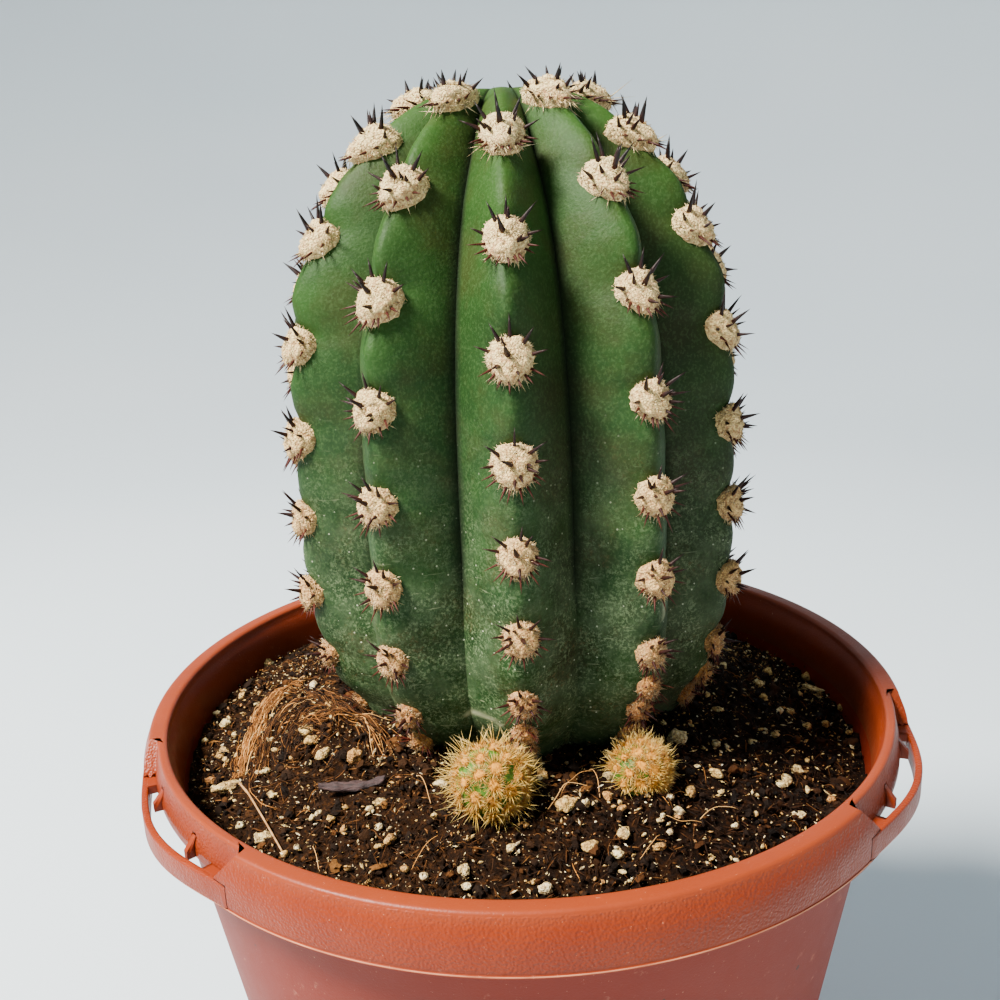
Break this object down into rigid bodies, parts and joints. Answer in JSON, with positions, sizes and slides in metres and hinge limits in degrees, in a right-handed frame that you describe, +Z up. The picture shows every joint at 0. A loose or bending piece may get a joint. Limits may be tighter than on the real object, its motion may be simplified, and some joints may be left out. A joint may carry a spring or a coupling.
{
  "type": "potted cactus",
  "caption": "Ribbed columnar cactus with woolly spined areoles and small offsets at its foot, in soil in a round tapered plastic pot with a broad rim band.",
  "frame": {"origin": "centre of the pot's flat underside", "axes": "+Z up along the stem, -Y towards the front, where the larger offset grows, +X to the right"},
  "size_m": [0.16, 0.1619, 0.2532],
  "materials": {
    "pot_plastic": "terracotta-coloured moulded plastic with a fine leather-like grain on the rim band",
    "potting_soil": "moist dark peat mix with pale perlite grains",
    "cactus_skin": "waxy green skin, dusty low down, with cream wool and dark spines",
    "offset_wool": "yellow wool tufts with fine pale needles over green skin",
    "dry_fibre": "dry orange-brown root fibre",
    "bark": "rough dark bark",
    "straw": "dry pale stalk"
  },
  "bodies": {
    "root": {"pot": "pot_plastic", "soil": "potting_soil", "stem": "cactus_skin", "offset_front": "offset_wool", "offset_right": "offset_wool", "root_fibres": "dry_fibre", "bark_strip": "bark", "straw": "straw"}
  },
  "joints": []
}
